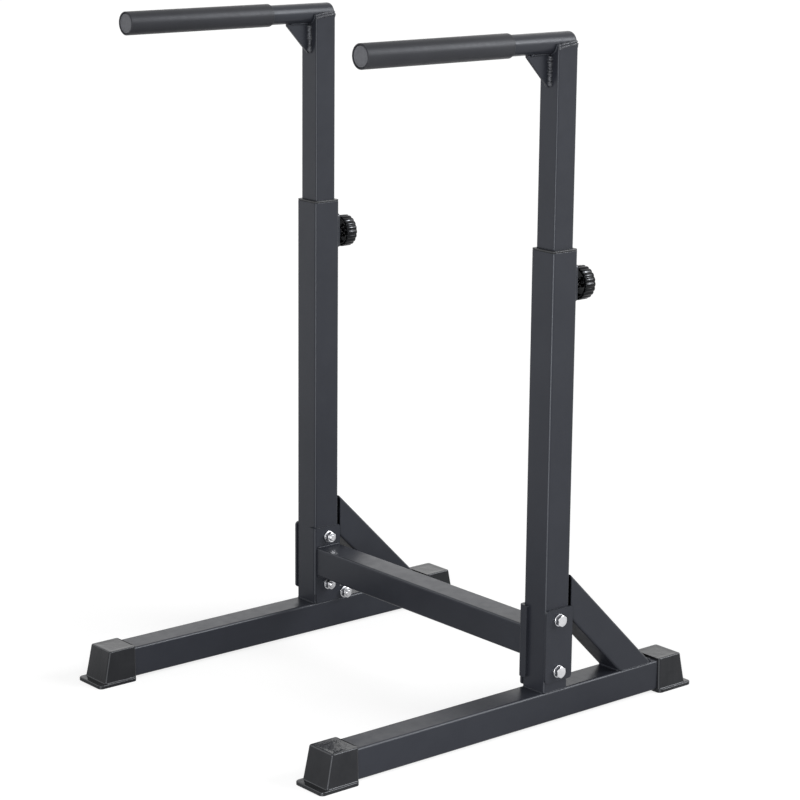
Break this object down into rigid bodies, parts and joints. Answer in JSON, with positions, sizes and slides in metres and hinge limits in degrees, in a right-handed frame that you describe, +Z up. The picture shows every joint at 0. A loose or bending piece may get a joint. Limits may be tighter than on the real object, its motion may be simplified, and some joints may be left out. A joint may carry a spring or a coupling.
{
  "type": "dip station",
  "caption": "Free-standing dip station: square steel frame on rubber feet, round bars with grips on posts that slide in the uprights, locked by spring pins with knobs.",
  "frame": {"origin": "on the floor, under the middle of the outer box", "axes": "+X to the user's right as seen from the front, +Y to the back, +Z up; the bars' free ends point to -Y"},
  "size_m": [0.6566, 0.7692, 1.0815],
  "materials": {
    "paint": "satin charcoal powder coat, fine texture",
    "rubber": "matte moulded rubber",
    "grip_rubber": "soft matte sleeve",
    "zinc": "bright zinc plating",
    "spring_steel": "oiled spring steel",
    "guide_plastic": "moulded, matte",
    "plug_plastic": "moulded, fine grain",
    "knob_plastic": "glossy black"
  },
  "bodies": {
    "frame": {"cross_tube": "paint", "left_base_rail": "paint", "left_front_foot": "rubber", "left_rear_foot": "rubber", "left_brace": "paint", "left_bracket": "paint", "left_upright": "paint", "left_end_plate": "paint", "left_lower_bolt": "zinc", "left_lower_nut": "zinc", "left_lower_washer": "zinc", "left_upper_bolt": "zinc", "left_upper_nut": "zinc", "left_upper_washer": "zinc", "left_ear_bolt": "zinc", "left_ear_nut": "zinc", "left_post_bush": "guide_plastic", "left_pin_plate": "paint", "left_pin_boss": "paint", "left_pin_housing": "zinc", "left_pin_spring": "spring_steel", "right_base_rail": "paint", "right_front_foot": "rubber", "right_rear_foot": "rubber", "right_brace": "paint", "right_bracket": "paint", "right_upright": "paint", "right_end_plate": "paint", "right_lower_bolt": "zinc", "right_lower_nut": "zinc", "right_lower_washer": "zinc", "right_upper_bolt": "zinc", "right_upper_nut": "zinc", "right_upper_washer": "zinc", "right_ear_bolt": "zinc", "right_ear_nut": "zinc", "right_post_bush": "guide_plastic", "right_pin_plate": "paint", "right_pin_boss": "paint", "right_pin_housing": "zinc", "right_pin_spring": "spring_steel"},
    "left_bar": {"left_post": "paint", "left_post_glide": "guide_plastic", "left_hand_bar": "paint", "left_bar_rear_cap": "paint", "left_bar_front_plug": "plug_plastic", "left_bar_gusset": "paint", "left_grip": "grip_rubber"},
    "left_pin": {"left_pull_pin": "zinc"},
    "left_knob": {"left_knob": "knob_plastic"},
    "right_bar": {"right_post": "paint", "right_post_glide": "guide_plastic", "right_hand_bar": "paint", "right_bar_rear_cap": "paint", "right_bar_front_plug": "plug_plastic", "right_bar_gusset": "paint", "right_grip": "grip_rubber"},
    "right_pin": {"right_pull_pin": "zinc"},
    "right_knob": {"right_knob": "knob_plastic"}
  },
  "joints": [
    {"name": "left_height", "type": "slide", "parent": "frame", "child": "left_bar", "axis": [0, 0, 1], "range_m": [-0.24, 0.08]},
    {"name": "left_pin_pull", "type": "slide", "parent": "frame", "child": "left_pin", "axis": [0, 1, 0], "range_m": [-0.006, 0.005], "stiffness_N_per_m": 400, "springref_m": -0.016, "deforming": ["left_pin_spring"]},
    {"name": "left_knob_turn", "type": "hinge", "parent": "left_pin", "child": "left_knob", "pos_m": [-0.29, 0.13825, 0.695], "axis": [0, 1, 0], "continuous": true},
    {"name": "right_height", "type": "slide", "parent": "frame", "child": "right_bar", "axis": [0, 0, 1], "range_m": [-0.24, 0.08]},
    {"name": "right_pin_pull", "type": "slide", "parent": "frame", "child": "right_pin", "axis": [0, 1, 0], "range_m": [-0.006, 0.005], "stiffness_N_per_m": 400, "springref_m": -0.016, "deforming": ["right_pin_spring"]},
    {"name": "right_knob_turn", "type": "hinge", "parent": "right_pin", "child": "right_knob", "pos_m": [0.29, 0.13825, 0.695], "axis": [0, 1, 0], "continuous": true}
  ]
}
